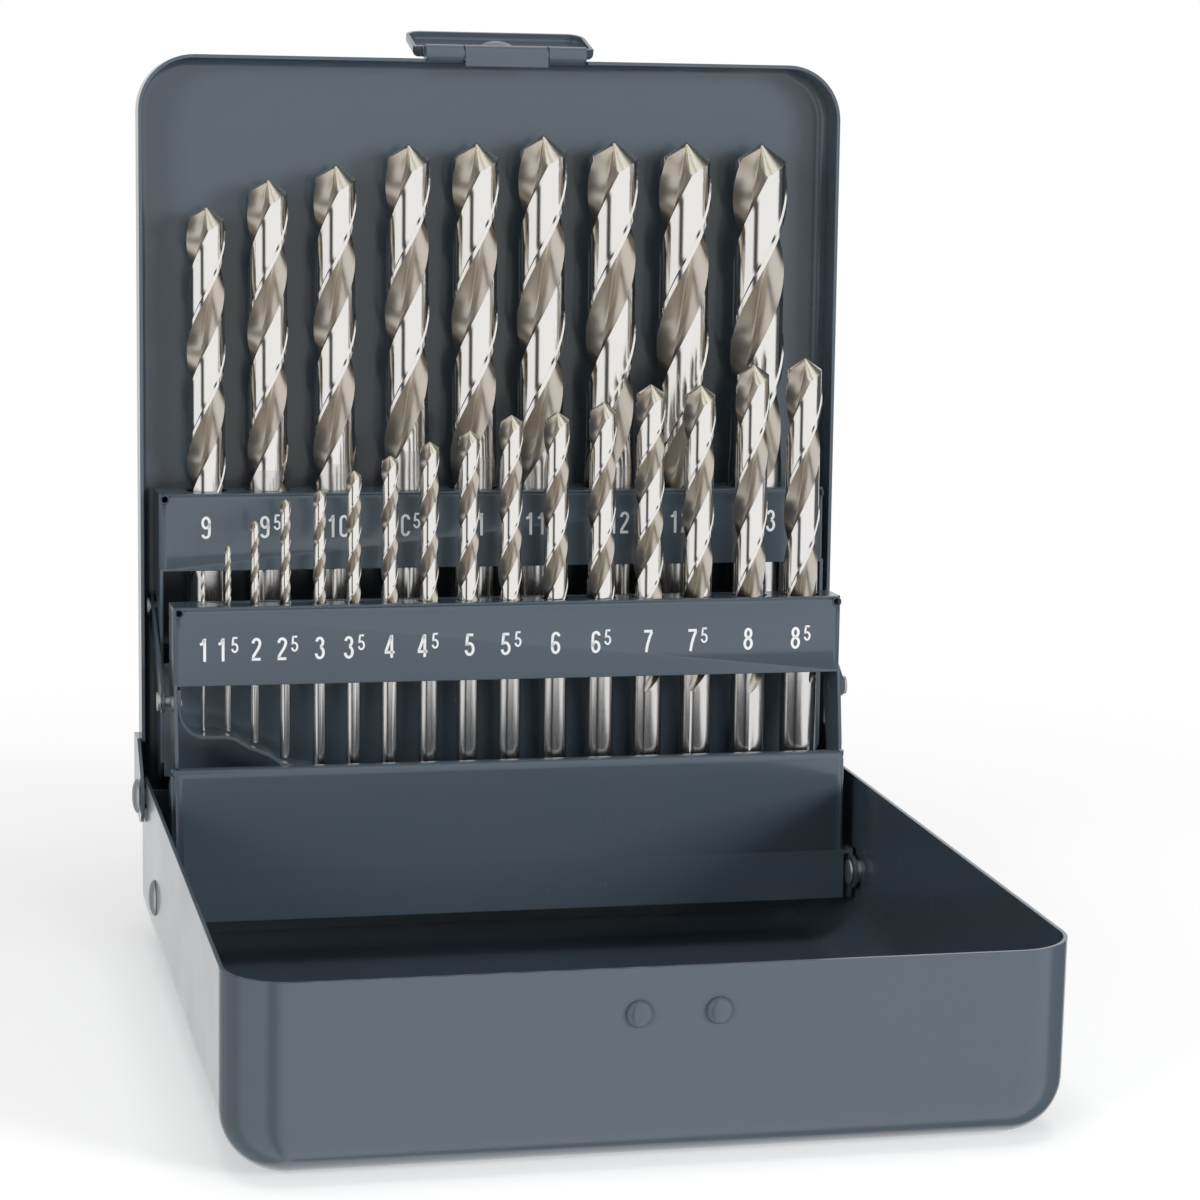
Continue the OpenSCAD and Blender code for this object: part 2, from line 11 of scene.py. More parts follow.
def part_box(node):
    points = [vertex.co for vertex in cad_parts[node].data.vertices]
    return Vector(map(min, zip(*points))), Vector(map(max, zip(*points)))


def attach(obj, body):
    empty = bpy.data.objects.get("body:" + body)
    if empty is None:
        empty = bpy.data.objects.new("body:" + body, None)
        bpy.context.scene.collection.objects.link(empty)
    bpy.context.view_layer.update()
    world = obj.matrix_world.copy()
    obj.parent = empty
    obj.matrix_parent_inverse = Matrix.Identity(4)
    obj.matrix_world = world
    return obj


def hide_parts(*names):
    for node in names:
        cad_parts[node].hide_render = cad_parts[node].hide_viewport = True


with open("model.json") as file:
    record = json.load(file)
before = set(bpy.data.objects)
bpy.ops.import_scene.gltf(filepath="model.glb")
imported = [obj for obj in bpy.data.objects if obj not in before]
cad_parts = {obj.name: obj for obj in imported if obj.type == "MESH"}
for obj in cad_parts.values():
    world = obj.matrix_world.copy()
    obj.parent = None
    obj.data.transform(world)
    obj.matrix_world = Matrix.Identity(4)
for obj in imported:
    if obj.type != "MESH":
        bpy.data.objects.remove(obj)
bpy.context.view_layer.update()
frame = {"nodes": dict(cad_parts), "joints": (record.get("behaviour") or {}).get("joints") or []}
NODES = frame["nodes"]
JOINTS = {joint["name"]: joint for joint in frame["joints"]}

bl_info = {
    "name": "Drill bit case",
    "version": (1, 0, 0),
    "blender": (4, 5, 0),
    "location": "View3D > Sidebar > Drill case",
    "description": "Dresses a steel case with twist drills, numerals and enamel",
    "category": "Object",
}

MM = 0.001

# ---------- the frame's own places ----------

HINGE = Vector(JOINTS["lid_hinge"]["pos_m"])
STAND_PIVOT = Vector(JOINTS["front_stand_hinge"]["pos_m"])

# The open lid and racks lean back; the drills' slides point along the lean
UP = Vector(JOINTS["drill_13_0_slide"]["axis"]).normalized()
LEAN = math.atan2(UP.y, UP.z)

# Diameters of the drills in millimetres; the first ones stand in the front rack
SIZES = [1 + i / 2 for i in range(25)]
FRONT_COUNT = 16

# Depth of each label flange's face behind its leaning frame's origin, in millimetres
FRONT_FLANGE_DEPTH = 4.6
REAR_FLANGE_DEPTH = -1.5


def drill_node(size):
    """Name of the drill of that diameter in millimetres."""
    return f"drill_{int(size):02d}_{int(size * 10) % 10}"


def local_frame(origin):
    """Matrix from (across, depth, height) at a leaning rack or lid to the row frame."""
    matrix = Matrix.Rotation(-LEAN, 4, "X")
    matrix.translation = origin
    return matrix


# Leaning frames of the bodies that hold the racks
LEANING = {"lid": local_frame(HINGE), "front_stand": local_frame(STAND_PIVOT)}

# Turns a form that was turned about z to face the front
FORWARD = Matrix.Rotation(math.radians(90), 4, "X")


# ---------- shapes and light; lengths are millimetres unless a comment says otherwise ----------

# Folded pieces with rounded corners, as node: body, half width, depth of the face, lower and upper
# end, radius
ROUNDED_PIECES = {
    "front_rack": ("front_stand", 79.0, FRONT_FLANGE_DEPTH, 48.3, 67.0, 1.8),
    "rear_rack": ("lid", 80.2, REAR_FLANGE_DEPTH, 53.7, 72.4, 1.8),
    "front_panel": ("front_stand", 79.8, 0.9, 5.2, 31.0, 2.4),
}

# Raised ring round a relief hole, as (rise from the sheet, radius), and where the holes are, as
# body: half distance between them, depth, height
RELIEF_RING = [(-0.1, 0.78), (0.16, 0.84), (0.22, 0.95), (0.14, 1.08), (-0.1, 1.16)]
RELIEF_HOLES = {
    "front_stand": (77.75, FRONT_FLANGE_DEPTH, 64.45),
    "lid": (78.95, REAR_FLANGE_DEPTH, 69.85),
}

# Rivets as (place along the axis from the outer sheet, radius): a domed head, then shank and tail
RIVET_HEAD = [
    (1.35, 0), (1.3, 1.4), (1.1, 2.6), (0.75, 3.5), (0.4, 4.0), (0.1, 4.15), (0, 4.05), (0, 2.0),
]
HINGE_TAIL = [(-2.2, 2.0), (-2.2, 3.0), (-2.8, 2.95), (-3.05, 2.6), (-3.1, 2.0), (-3.1, 0)]
PIVOT_TAIL = [
    (-0.8, 2.0), (-0.8, 2.8), (-1.7, 2.8), (-1.7, 2.0), (-3.1, 2.0), (-3.1, 3.0),
    (-3.5, 2.9), (-3.7, 2.4), (-3.7, 0),
]

# Rivets as node: half distance between the heads' undersides, tail, axis
RIVETS = {
    "hinge_rivets": (85.4, HINGE_TAIL, HINGE),
    "pivot_rivets": (84.0, PIVOT_TAIL, STAND_PIVOT),
}
STUD_ROOT = 0.2

# Fluted lengths of the drills, as in the solids
FLUTES = [
    12.5, 19, 25, 31, 34, 40, 45, 48, 53, 58, 60, 64, 72.4, 72.4, 78, 77.2,
    86.3, 85, 88, 91, 94, 95, 99, 99, 99,
]

# Ways that the lips face at the point, and the middles of the run-outs that show by drill size, in
# degrees about the drill
LIP_FACES = -149.6
RUNOUT_FACES = {7.0: -108.0, 7.5: -123.0, 8.0: -97.0, 8.5: -65.0}

# Radius of the relieved land over the drill's radius
LAND_REACH = 0.94

# Fall of a flank behind its lip, over the radius and the square of the angle in radians
FLANK_FALL = 0.25

# A flute's hollow: how late it rises to the heel, and how sharply it meets the flat under the lip
HEEL_RISE = 1.6
HOLLOW_BLEND = 6

# Where a flute's end begins to lie on the next lip's flank and over what span, as shares of the flute
FLANK_FROM = 0.2
FLANK_SPAN = 0.45

# Points of half a cross-section on the land, the margin and the flute
LAND_STEPS = 10
MARGIN_STEPS = 4
FLUTE_STEPS = 18

# Rings of a drill: per turn, over the run-out, up to the lips, and the flanks' as shares of the radius
RINGS_PER_TURN = 46
RUNOUT_RINGS = 26
LIP_RINGS = 8
FLANK_RINGS = (0.75, 0.5, 0.25, 0.1)

# Places of the numerals across the case: the middle of each whole number
NUMERAL_PLACES = [
    -72.2, -68.0, -60.2, -54.3, -45.6, -38.9, -29.4, -21.7,
    -10.7, -2.2, 9.6, 19.2, 31.8, 42.5, 56.1, 67.7,
    -69.4, -55.7, -38.5, -23.9, -5.9, 8.8, 29.1, 44.2, 65.4,
]
FRONT_NUMERAL_HEIGHT = 56.0
REAR_NUMERAL_HEIGHT = 63.2

# The raised half: from the whole number's middle by its count of digits, and its rise over their tops
HALF_PLACES = {1: 2.9, 2: 4.1}
HALF_RISE = 0.3
INK_FILM = 0.03

# The floor's radius, drop and fade into the surround, in metres; its own light, and what the camera
# sees of it besides
FLOOR_RADIUS = 0.62
FLOOR_DROP = -0.0002
FLOOR_FADE = (0.16, 0.42)
FLOOR_GLOW = 0.3
FLOOR_CAMERA_GLOW = 0.12

# The surround's panels as (degrees to the right of where they face, level), and where they face
PANELS_FACE = math.pi + math.radians(12.6)
PANELS = [
    (-180, 1.0), (-155, 1.0), (-145, 0.35), (-86, 0.35), (-76, 0.95), (-31, 0.95), (-24, 0.06),
    (-12, 0.06), (-5, 1.0), (88, 1.0), (96, 0.1), (145, 0.1), (155, 1.0), (180, 1.0),
]

# Light on the case from the white table below the horizon and from above it
TABLE_LIGHT = 0.85
ROOM_LIGHT = 0.22

# Softboxes as name: place in metres, width, height, watts; and the place they face
SOFTBOXES = {
    "softbox_right": ((1.09, -1.17, 0.45), 0.5, 0.5, 17.0),
    "softbox_left": ((-1.15, -1.05, 0.5), 0.6, 0.6, 8.0),
    "softbox_top": ((0.0, -0.1, 1.5), 0.9, 0.7, 6.0),
}
LIGHT_AIM = Vector((0, 0.02, 0.08))


# ---------- properties ----------


class DrillCaseColours(bpy.types.PropertyGroup):
    """Finishes, as sRGB hex values."""

    enamel: bpy.props.StringProperty(
        name="Enamel", description="Stove enamel on all pressed sheet", default="#49555f"
    )
    zinc: bpy.props.StringProperty(
        name="Zinc plate", description="Rivets and pins", default="#c3c6c9"
    )
    shank: bpy.props.StringProperty(
        name="Shank steel", description="Ground shanks of the drills", default="#dddbd9"
    )
    flute: bpy.props.StringProperty(
        name="Flute steel", description="Milled flutes of the drills", default="#c8c0b5"
    )
    land: bpy.props.StringProperty(
        name="Land steel", description="Ground lands and margins of the drills", default="#e9e7e4"
    )
    point: bpy.props.StringProperty(
        name="Point steel", description="Ground point facets", default="#ebe6d6"
    )
    ink: bpy.props.StringProperty(
        name="Numerals", description="White ink of the size numerals", default="#f2f4f4"
    )


class DrillSizes(bpy.types.PropertyGroup):
    """Shape of the twist drills, as shares of the diameter."""

    lead: bpy.props.FloatProperty(
        name="Lead", description="Length of one turn of the flutes over the diameter", default=5.8
    )
    land_angle: bpy.props.FloatProperty(
        name="Land",
        description="Angle that a land takes up",
        default=math.radians(98),
        subtype="ANGLE",
    )
    web: bpy.props.FloatProperty(
        name="Web", description="Radius of the web over the drill's radius", default=0.2
    )
    margin_angle: bpy.props.FloatProperty(
        name="Margin",
        description="Angle of the raised margin",
        default=math.radians(14),
        subtype="ANGLE",
    )
    runout: bpy.props.FloatProperty(
        name="Run-out",
        description="Length over which a flute rises out of the steel, over the diameter",
        default=2.4,
    )
    point_angle: bpy.props.FloatProperty(
        name="Point",
        description="Included angle of the point",
        default=math.radians(118),
        subtype="ANGLE",
    )


class NumeralSizes(bpy.types.PropertyGroup):
    """Size of the printed numerals."""

    height: bpy.props.FloatProperty(
        name="Height", description="Height of a large digit", default=5.3 * MM, unit="LENGTH"
    )
    stroke: bpy.props.FloatProperty(
        name="Stroke", description="Thickness of a stroke over the height of its digit", default=0.12
    )
    small: bpy.props.FloatProperty(
        name="Small share", description="Height of the raised half-size digit over a large one", default=0.7
    )


class StudioSettings(bpy.types.PropertyGroup):
    """Camera and light."""

    lens: bpy.props.FloatProperty(
        name="Lens", description="Focal length on a 36 mm sensor", default=98.105
    )
    yaw: bpy.props.FloatProperty(
        name="Yaw",
        description="Turn of the view to the right of +Y",
        default=math.radians(13.0325),
        subtype="ANGLE",
    )
    pitch: bpy.props.FloatProperty(
        name="Pitch",
        description="Tilt of the view below the horizon",
        default=math.radians(9.8629),
        subtype="ANGLE",
    )
    roll: bpy.props.FloatProperty(
        name="Roll",
        description="Roll of the view",
        default=math.radians(1.2265),
        subtype="ANGLE",
    )
    place: bpy.props.FloatVectorProperty(
        name="Place",
        description="Camera position",
        default=(-0.14933, -0.66797, 0.21431),
        unit="LENGTH",
    )
    light: bpy.props.FloatProperty(
        name="Light", description="Strength of the softboxes", default=1.0
    )


def settings(name):
    """One of the scene's property groups."""
    return getattr(bpy.context.scene, name)


# ---------- materials ----------


def linear(hex_colour):
    """Linear RGBA of an sRGB hex value."""
    channels = [int(hex_colour[i : i + 2], 16) / 255 for i in (1, 3, 5)]
    return [c / 12.92 if c <= 0.04045 else ((c + 0.055) / 1.055) ** 2.4 for c in channels] + [1.0]


def add(tree, kind, inputs=(), **attributes):
    """Adds a node, sets its attributes, and sets or links each named input."""
    node = tree.nodes.new(kind)
    for name, value in attributes.items():
        setattr(node, name, value)
    for name, value in dict(inputs).items():
        if isinstance(value, bpy.types.NodeSocket):
            tree.links.new(value, node.inputs[name])
        else:
            node.inputs[name].default_value = value
    return node


def new_material(name):
    """An empty node material with its output, as (material, tree, output)."""
    material = bpy.data.materials.new(name)
    material.use_nodes = True
    tree = material.node_tree
    tree.nodes.clear()
    return material, tree, tree.nodes.new("ShaderNodeOutputMaterial")


def stove_enamel():
    """Stove enamel on pressed steel: a dark gloss coat whose slow orange peel softens reflections."""
    material, tree, output = new_material("stove_enamel")
    colour = settings("drill_case_colours").enamel
    place = add(tree, "ShaderNodeTexCoord").outputs["Object"]
    # orange peel with waves of about 2 mm, and faint cloudiness of about 40 mm
    peel = add(tree, "ShaderNodeTexNoise", {"Vector": place, "Scale": 1 / (2 * MM), "Detail": 2.0})
    cloud = add(tree, "ShaderNodeTexNoise", {"Vector": place, "Scale": 1 / (40 * MM), "Detail": 3.0})
    # the coat rounds every cut edge a little, which catches the light along rims and folds
    edges = add(tree, "ShaderNodeBevel", {"Radius": 0.35 * MM}, samples=4)
    bump = add(
        tree,
        "ShaderNodeBump",
        {
            "Height": peel.outputs["Fac"],
            "Strength": 0.05,
            "Distance": 0.1 * MM,
            "Normal": edges.outputs["Normal"],
        },
    )
    rough = add(
        tree,
        "ShaderNodeMapRange",
        {"Value": cloud.outputs["Fac"], "To Min": 0.17, "To Max": 0.33},
    )
    shader = add(
        tree,
        "ShaderNodeBsdfPrincipled",
        {
            "Base Color": linear(colour),
            "Roughness": rough.outputs["Result"],
            "IOR": 1.5,
            "Coat Weight": 0.35,
            "Coat Roughness": 0.08,
            "Normal": bump.outputs["Normal"],
        },
    )
    tree.links.new(shader.outputs["BSDF"], output.inputs["Surface"])
    return material


def zinc_plate():
    """Bright zinc plate on mild steel: pale metal with a fine grain."""
    material, tree, output = new_material("zinc_plate")
    place = add(tree, "ShaderNodeTexCoord").outputs["Object"]
    grain = add(tree, "ShaderNodeTexNoise", {"Vector": place, "Scale": 1 / (0.5 * MM), "Detail": 3.0})
    rough = add(tree, "ShaderNodeMapRange", {"Value": grain.outputs["Fac"], "To Min": 0.18, "To Max": 0.4})
    shader = add(
        tree,
        "ShaderNodeBsdfPrincipled",
        {
            "Base Color": linear(settings("drill_case_colours").zinc),
            "Metallic": 1.0,
            "Roughness": rough.outputs["Result"],
        },
    )
    tree.links.new(shader.outputs["BSDF"], output.inputs["Surface"])
    return material


def ground_steel(name, colour, rough_low, rough_high, grain_mm, stretch):
    """Ground or milled high speed steel: fine tool lines, whose grain is in mm, break up its reflections."""
    material, tree, output = new_material(name)
    place = add(tree, "ShaderNodeTexCoord").outputs["Object"]
    mapping = add(tree, "ShaderNodeMapping", {"Vector": place, "Scale": stretch})
    lines = add(
        tree,
        "ShaderNodeTexNoise",
        {
            "Vector": mapping.outputs["Vector"],
            "Scale": 1 / (grain_mm * MM),
            "Detail": 4.0,
            "Roughness": 0.6,
        },
    )
    rough = add(
        tree, "ShaderNodeMapRange", {"Value": lines.outputs["Fac"], "To Min": rough_low, "To Max": rough_high}
    )
    bump = add(
        tree, "ShaderNodeBump", {"Height": lines.outputs["Fac"], "Strength": 0.12, "Distance": 0.02 * MM}
    )
    shader = add(
        tree,
        "ShaderNodeBsdfPrincipled",
        {
            "Base Color": linear(colour),
            "Metallic": 1.0,
            "Roughness": rough.outputs["Result"],
            "Normal": bump.outputs["Normal"],
        },
    )
    tree.links.new(shader.outputs["BSDF"], output.inputs["Surface"])
    return material


def screen_ink():
    """Screen-printed white ink: a matt film."""
    material, tree, output = new_material("screen_ink")
    place = add(tree, "ShaderNodeTexCoord").outputs["Object"]
    film = add(tree, "ShaderNodeTexNoise", {"Vector": place, "Scale": 1 / (0.4 * MM)})
    rough = add(tree, "ShaderNodeMapRange", {"Value": film.outputs["Fac"], "To Min": 0.4, "To Max": 0.6})
    shader = add(
        tree,
        "ShaderNodeBsdfPrincipled",
        {"Base Color": linear(settings("drill_case_colours").ink), "Roughness": rough.outputs["Result"]},
    )
    tree.links.new(shader.outputs["BSDF"], output.inputs["Surface"])
    return material


def material(name, make):
    """The named material, made when it is first asked for."""
    return bpy.data.materials.get(name) or make()


def dress(obj, *materials):
    """Gives an object these materials in place of its own."""
    if obj.data.materials:
        obj.data.materials.clear()
    for one in materials:
        obj.data.materials.append(one)


def enamel():
    return material("stove_enamel", stove_enamel)


def zinc():
    return material("zinc_plate", zinc_plate)


# ---------- meshes ----------


def new_object(name, mesh, body):
    """Links a mesh as an object that rides on a body."""
    obj = bpy.data.objects.new(name, mesh)
    bpy.context.scene.collection.objects.link(obj)
    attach(obj, body)
    return obj


def flute_reach(shape, share):
    """Radius of a flute at a share of its span from lip to heel, over the drill's radius."""
    span = math.pi - shape.land_angle
    # the lip side is flat and stands off the middle by the web; the heel side is a hollow arc
    lip = shape.web / math.sin(math.asin(shape.web) + share * span)
    heel = LAND_REACH * share**HEEL_RISE
    return (lip**HOLLOW_BLEND + heel**HOLLOW_BLEND) ** (1 / HOLLOW_BLEND)


def flute_edges(shape, lift):
    """Shares of the flute's span at which it breaks through the surface when raised by a lift."""
    steps = 240
    inside = [k / steps for k in range(steps + 1) if flute_reach(shape, k / steps) + lift <= 1.0]
    if inside:
        return inside[0], inside[-1]
    lowest = min(range(steps + 1), key=lambda k: flute_reach(shape, k / steps)) / steps
    return lowest, lowest


def drill_ring(shape, lift):
    """A twist drill's cross-section as (angle, radius over the drill's radius, zone)."""
    span = math.pi - shape.land_angle
    first, last = flute_edges(shape, lift)
    relief = min(1.0, LAND_REACH + lift)
    lip = shape.land_angle + first * span
    heel = shape.land_angle + last * span - math.pi
    margin = lip - shape.margin_angle
    half = []
    for k in range(LAND_STEPS):
        half.append((heel + (margin - heel) * k / (LAND_STEPS - 1), relief, "land"))
    # the margin rises over its first third
    for k in range(MARGIN_STEPS):
        half.append((margin + (lip - margin) * (0.3 + 0.7 * k / (MARGIN_STEPS - 1)), 1.0, "land"))
    # the points are closer together near the lip
    for k in range(1, FLUTE_STEPS):
        share = first + (last - first) * (k / FLUTE_STEPS) ** 1.5
        reach = min(1.0, flute_reach(shape, share) + lift)
        half.append((shape.land_angle + share * span, reach, "flute"))
    return half + [(angle + math.pi, reach, zone) for angle, reach, zone in half]


def twist_drill_mesh(name, size, length, flute):
    """Mesh of a twist drill standing on z = 0, in metres: shank, run-out, flutes and point."""
    shape = settings("drill_case_drills")
    radius = size * MM / 2
    slope = 1 / math.tan(shape.point_angle / 2)
    start = length - flute
    runout = shape.runout * size * MM
    full = drill_ring(shape, 0.0)
    count = len(full)
    deepest = min(reach for _, reach, _ in full)

    def top(i, share=1.0):
        """Height of the point over profile point i: a cone that falls away behind each lip."""
        angle, reach, zone = full[i]
        angle %= math.pi
        here = reach * radius * share
        behind = shape.land_angle - angle
        if zone == "flute":
            # past the middle of a flute its end lies on the flank of the next lip
            past = (angle - shape.land_angle) / (math.pi - shape.land_angle)
            past = min(1.0, max(0.0, (past - FLANK_FROM) / FLANK_SPAN))
            behind = (behind + math.pi) * past * past * (3 - 2 * past)
        return length - here * slope - FLANK_FALL * here * behind**2

    # the drills stand with their lips turned the same way, and the lead brings a run-out that shows
    # to its side
    lead = shape.lead * size * MM
    corner = length - radius * slope
    if size in RUNOUT_FACES:
        lowest = math.degrees(min(full, key=lambda point: point[1])[0])
        wanted = (LIP_FACES - math.degrees(shape.land_angle)) - (RUNOUT_FACES[size] - lowest)
        turns = (corner - start) / lead
        turns += ((wanted / 360 - turns + 0.25) % 0.5) - 0.25
        lead = (corner - start) / turns

    def turn_at(height):
        """Turn of the cross-section at a height."""
        return math.radians(LIP_FACES) - shape.land_angle + 2 * math.pi * (height - corner) / lead

    under_point = min(top(i) for i in range(count)) - 0.1 * radius
    ring_step = lead / RINGS_PER_TURN
    chamfer = 0.06 * radius
    heights = [0.0, chamfer, start]
    heights += [start + runout * (k / RUNOUT_RINGS) ** 1.3 for k in range(1, RUNOUT_RINGS + 1)]
    body = max(4, round((under_point - start - runout) / ring_step))
    heights += [start + runout + (under_point - start - runout) * k / body for k in range(1, body + 1)]

    bm = bmesh.new()
    rings = []
    for height in heights:
        past = min(1.0, max(0.0, (height - start) / runout))
        section = drill_ring(shape, (1 - deepest) * (1 - past) ** 2)
        turn = turn_at(max(height, start))
        inset = chamfer if height == 0 else 0.0
        ring = []
        for angle, reach, _ in section:
            reach = reach * radius - inset
            corner_at = (reach * math.cos(angle + turn), reach * math.sin(angle + turn), height)
            ring.append(bm.verts.new(corner_at))
        rings.append(ring)
    # the last lengths of land and flute end on the point's flanks, which close over the web
    ends = [(k / LIP_RINGS, 1.0) for k in range(1, LIP_RINGS + 1)]
    ends += [(1.0, share) for share in FLANK_RINGS]
    for climb, share in ends:
        ring = []
        for i, (angle, reach, _) in enumerate(full):
            height = under_point + (top(i, share) - under_point) * climb
            turn = turn_at(under_point + (top(i) - under_point) * climb)
            here = reach * radius * share
            corner_at = (here * math.cos(angle + turn), here * math.sin(angle + turn), height)
            ring.append(bm.verts.new(corner_at))
        rings.append(ring)
    # material slots, and where each zone begins
    zones = {"shank": 0, "flute": 1, "land": 2, "point": 3}
    point_from = len(rings) - 1 - len(FLANK_RINGS)
    ground_from = start + 0.75 * runout
    half = count // 2
    flute_from = LAND_STEPS + MARGIN_STEPS - 1
    for k in range(len(rings) - 1):
        for i in range(count):
            j = (i + 1) % count
            face = bm.faces.new((rings[k][i], rings[k][j], rings[k + 1][j], rings[k + 1][i]))
            face.smooth = True
            in_flute = i % half >= flute_from
            if k >= point_from:
                face.material_index = zones["point"]
            elif in_flute and k >= 2:
                face.material_index = zones["flute"]
            else:
                ground = heights[min(k, len(heights) - 1)] > ground_from
                face.material_index = zones["land" if ground else "shank"]
    bm.faces.new(list(reversed(rings[0]))).material_index = zones["shank"]
    peak = bm.verts.new((0, 0, length - 0.01 * radius))
    for i in range(count):
        face = bm.faces.new((rings[-1][i], rings[-1][(i + 1) % count], peak))
        face.material_index = zones["point"]
    bm.normal_update()
    mesh = bpy.data.meshes.new(name)
    bm.to_mesh(mesh)
    bm.free()
    mesh.set_sharp_from_angle(angle=math.radians(34))
    return mesh


def turned_mesh(name, profile, matrix, closed=False):
    """Mesh of a turned form about its own z axis, from (height, radius) points in millimetres."""
    steps = 48
    bm = bmesh.new()
    rows = []
    for height, reach in profile:
        if reach == 0:
            rows.append([bm.verts.new((0, 0, height * MM))])
            continue
        row = []
        for k in range(steps):
            turn = 2 * math.pi * k / steps
            corner = (reach * MM * math.cos(turn), reach * MM * math.sin(turn), height * MM)
            row.append(bm.verts.new(corner))
        rows.append(row)
    pairs = list(zip(rows, rows[1:])) + ([(rows[-1], rows[0])] if closed else [])
    for low, high in pairs:
        for k in range(steps):
            j = (k + 1) % steps
            corners = [low[k % len(low)], low[j % len(low)], high[j % len(high)], high[k % len(high)]]
            corners = list(dict.fromkeys(corners))
            if len(corners) > 2:
                bm.faces.new(corners).smooth = True
    bmesh.ops.recalc_face_normals(bm, faces=bm.faces)
    mesh = bpy.data.meshes.new(name)
    bm.to_mesh(mesh)
    bm.free()
    mesh.transform(matrix)
    mesh.set_sharp_from_angle(angle=math.radians(35))
    return mesh


def join_meshes(name, meshes):
    """One mesh from several."""
    bm = bmesh.new()
    for mesh in meshes:
        bm.from_mesh(mesh)
        bpy.data.meshes.remove(mesh)
    joined = bpy.data.meshes.new(name)
    bm.to_mesh(joined)
    bm.free()
    return joined


def rounded_copy(node, across, face, low, high, radius, matrix):
    """Mesh of a folded sheet node whose two upright front corners are cut round, in millimetres."""
    corner = [math.radians(a) for a in range(0, 91, 10)]
    # the cutter stands this far out of the sheet
    clear = 1.0
    outline = [(across + clear, face - clear), (across + clear, face + radius)]
    outline += [
        (across - radius + radius * math.cos(a), face + radius - radius * math.sin(a)) for a in corner
    ]
    outline += [(across - radius, face - clear)]
    bm = bmesh.new()
    for side in (1, -1):
        lower = [bm.verts.new((side * x * MM, y * MM, low * MM)) for x, y in outline]
        upper = [bm.verts.new((side * x * MM, y * MM, high * MM)) for x, y in outline]
        bm.faces.new(lower)
        bm.faces.new(upper)
        for k in range(len(outline)):
            j = (k + 1) % len(outline)
            bm.faces.new((lower[k], lower[j], upper[j], upper[k]))
    bmesh.ops.recalc_face_normals(bm, faces=bm.faces)
    cutter_mesh = bpy.data.meshes.new("cutter")
    bm.to_mesh(cutter_mesh)
    bm.free()
    cutter_mesh.transform(matrix)
    cutter = bpy.data.objects.new("cutter", cutter_mesh)
    blank = bpy.data.objects.new("blank", NODES[node].data.copy())
    for obj in (cutter, blank):
        bpy.context.scene.collection.objects.link(obj)
    boolean = blank.modifiers.new("corners", "BOOLEAN")
    boolean.operation = "DIFFERENCE"
    boolean.solver = "EXACT"
    boolean.object = cutter
    bpy.context.view_layer.update()
    cut = blank.evaluated_get(bpy.context.evaluated_depsgraph_get())
    mesh = bpy.data.meshes.new_from_object(cut)
    bpy.data.objects.remove(blank)
    bpy.data.objects.remove(cutter)
    mesh.name = f"rounded_{node}"
    for polygon in mesh.polygons:
        polygon.use_smooth = True
    mesh.set_sharp_from_angle(angle=math.radians(28))
    return mesh


def node_span(name, matrix):
    """Lowest and highest corner of a CAD node along the axes of a leaning frame."""
    inverse = matrix.inverted()
    points = [inverse @ v.co for v in NODES[name].data.vertices]
    low = Vector([min(p[i] for p in points) for i in range(3)])
    high = Vector([max(p[i] for p in points) for i in range(3)])
    return low, high


# ---------- operators ----------


class DRILLCASE_OT_finish_sheet(bpy.types.Operator):
    """Gives the pressed sheet its enamel and the small hardware its zinc plate"""

    bl_idname = "drillcase.finish_sheet"
    bl_label = "Finish sheet and hardware"

    def execute(self, context):
        sheet = (
            "tray", "lid", "clasp_strap", "clasp", "rear_panel", "rear_floor", "front_floor",
            "link_bar_left", "link_bar_right",
        )
        for name in sheet:
            dress(NODES[name], enamel())
        for name in ("clasp_pin", "rear_link_pins", "front_link_pins", "floor_rivet"):
            dress(NODES[name], zinc())
        return {"FINISHED"}


class DRILLCASE_OT_racks(bpy.types.Operator):
    """Rounds the folded corners of both racks and the front panel, and rings their relief holes"""

    bl_idname = "drillcase.racks"
    bl_label = "Racks and panel"

    def execute(self, context):
        for node, (body, *corner) in ROUNDED_PIECES.items():
            mesh = rounded_copy(node, *corner, LEANING[body])
            obj = new_object(f"rounded_{node}", mesh, body)
            dress(obj, enamel())
            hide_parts(node)
        # the sheet is drawn up a little round each relief hole
        for body, (across, face, height) in RELIEF_HOLES.items():
            rings = []
            for side in (-1, 1):
                place = Matrix.Translation((side * across * MM, face * MM, height * MM))
                matrix = LEANING[body] @ place @ FORWARD
                rings.append(turned_mesh("ring", RELIEF_RING, matrix, closed=True))
            name = f"relief_rings_{body}"
            obj = new_object(name, join_meshes(name, rings), body)
            dress(obj, enamel())
        return {"FINISHED"}


